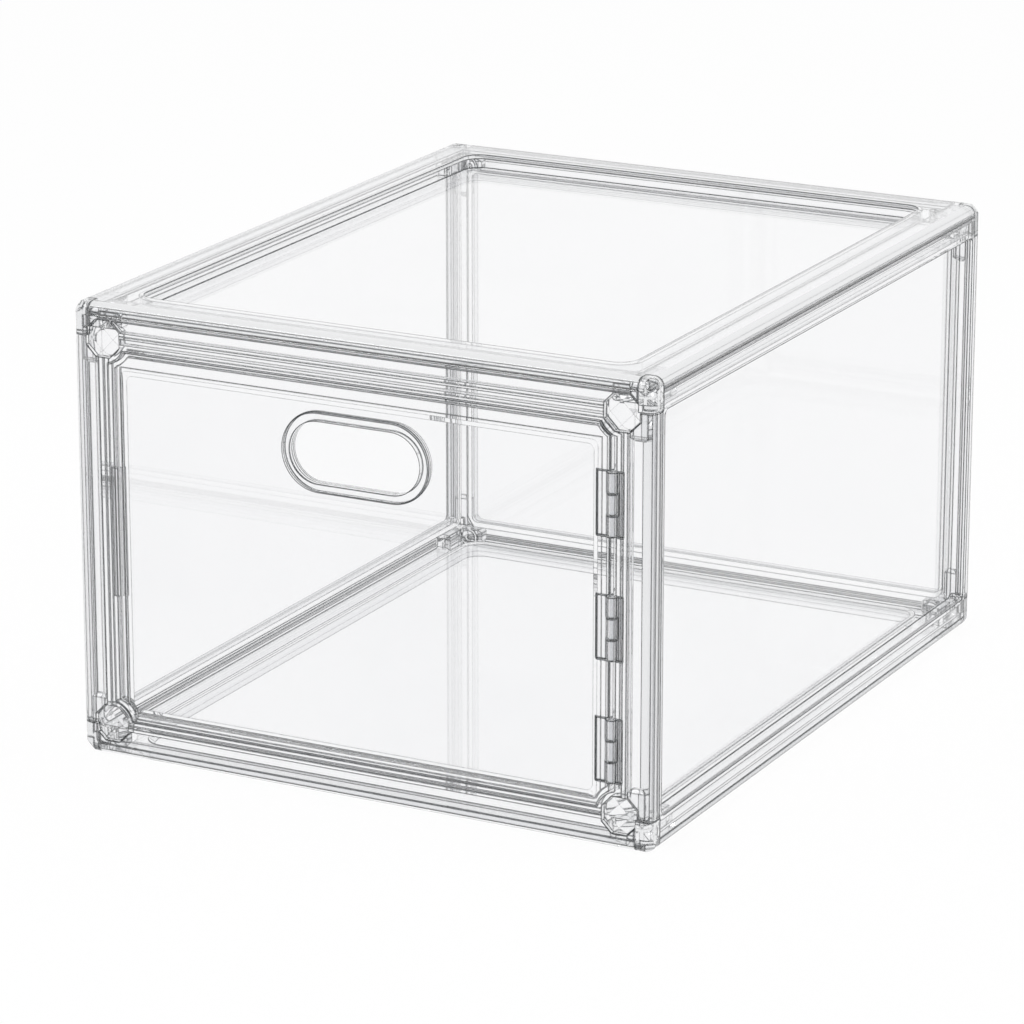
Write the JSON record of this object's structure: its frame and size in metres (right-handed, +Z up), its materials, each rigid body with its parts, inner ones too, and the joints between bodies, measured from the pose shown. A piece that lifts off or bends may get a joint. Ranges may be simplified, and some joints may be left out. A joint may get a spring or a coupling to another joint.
{
  "type": "clear stacking storage box",
  "caption": "Clear moulded stacking box with recessed panels, pegged faceted corner connectors, and a hinged front door with an oval hand hole.",
  "frame": {"origin": "centre of the bounding box at the plane the box stands on", "axes": "+X to the right along the front, +Y to the back, +Z up; the door looks along -Y"},
  "size_m": [0.285, 0.3564, 0.21],
  "materials": {
    "clear_panel": "clear, polished mould finish",
    "clear_door": "clear, polished mould finish",
    "clear_corner": "clear, faceted and polished",
    "clear_hinge": "clear, polished",
    "pin_steel": "drawn steel rod"
  },
  "bodies": {
    "box_body": {"top_panel": "clear_panel", "bottom_panel": "clear_panel", "left_panel": "clear_panel", "right_panel": "clear_panel", "back_panel": "clear_panel", "front_frame": "clear_panel", "corner_front_left_bottom": "clear_corner", "corner_front_right_bottom": "clear_corner", "corner_back_left_bottom": "clear_corner", "corner_back_right_bottom": "clear_corner", "corner_front_left_top": "clear_corner", "corner_front_right_top": "clear_corner", "corner_back_left_top": "clear_corner", "corner_back_right_top": "clear_corner", "hinge_frame_leaf_bottom": "clear_hinge", "hinge_frame_leaf_middle": "clear_hinge", "hinge_frame_leaf_top": "clear_hinge", "hinge_pin_bottom": "pin_steel", "hinge_pin_middle": "pin_steel", "hinge_pin_top": "pin_steel"},
    "door": {"door": "clear_door", "hinge_door_leaf_bottom": "clear_hinge", "hinge_door_leaf_middle": "clear_hinge", "hinge_door_leaf_top": "clear_hinge"}
  },
  "joints": [
    {"name": "door_hinge", "type": "hinge", "parent": "box_body", "child": "door", "pos_m": [0.12291, -0.17583, 0.0993], "axis": [0, 0, 1], "range_deg": [0, 175]}
  ]
}
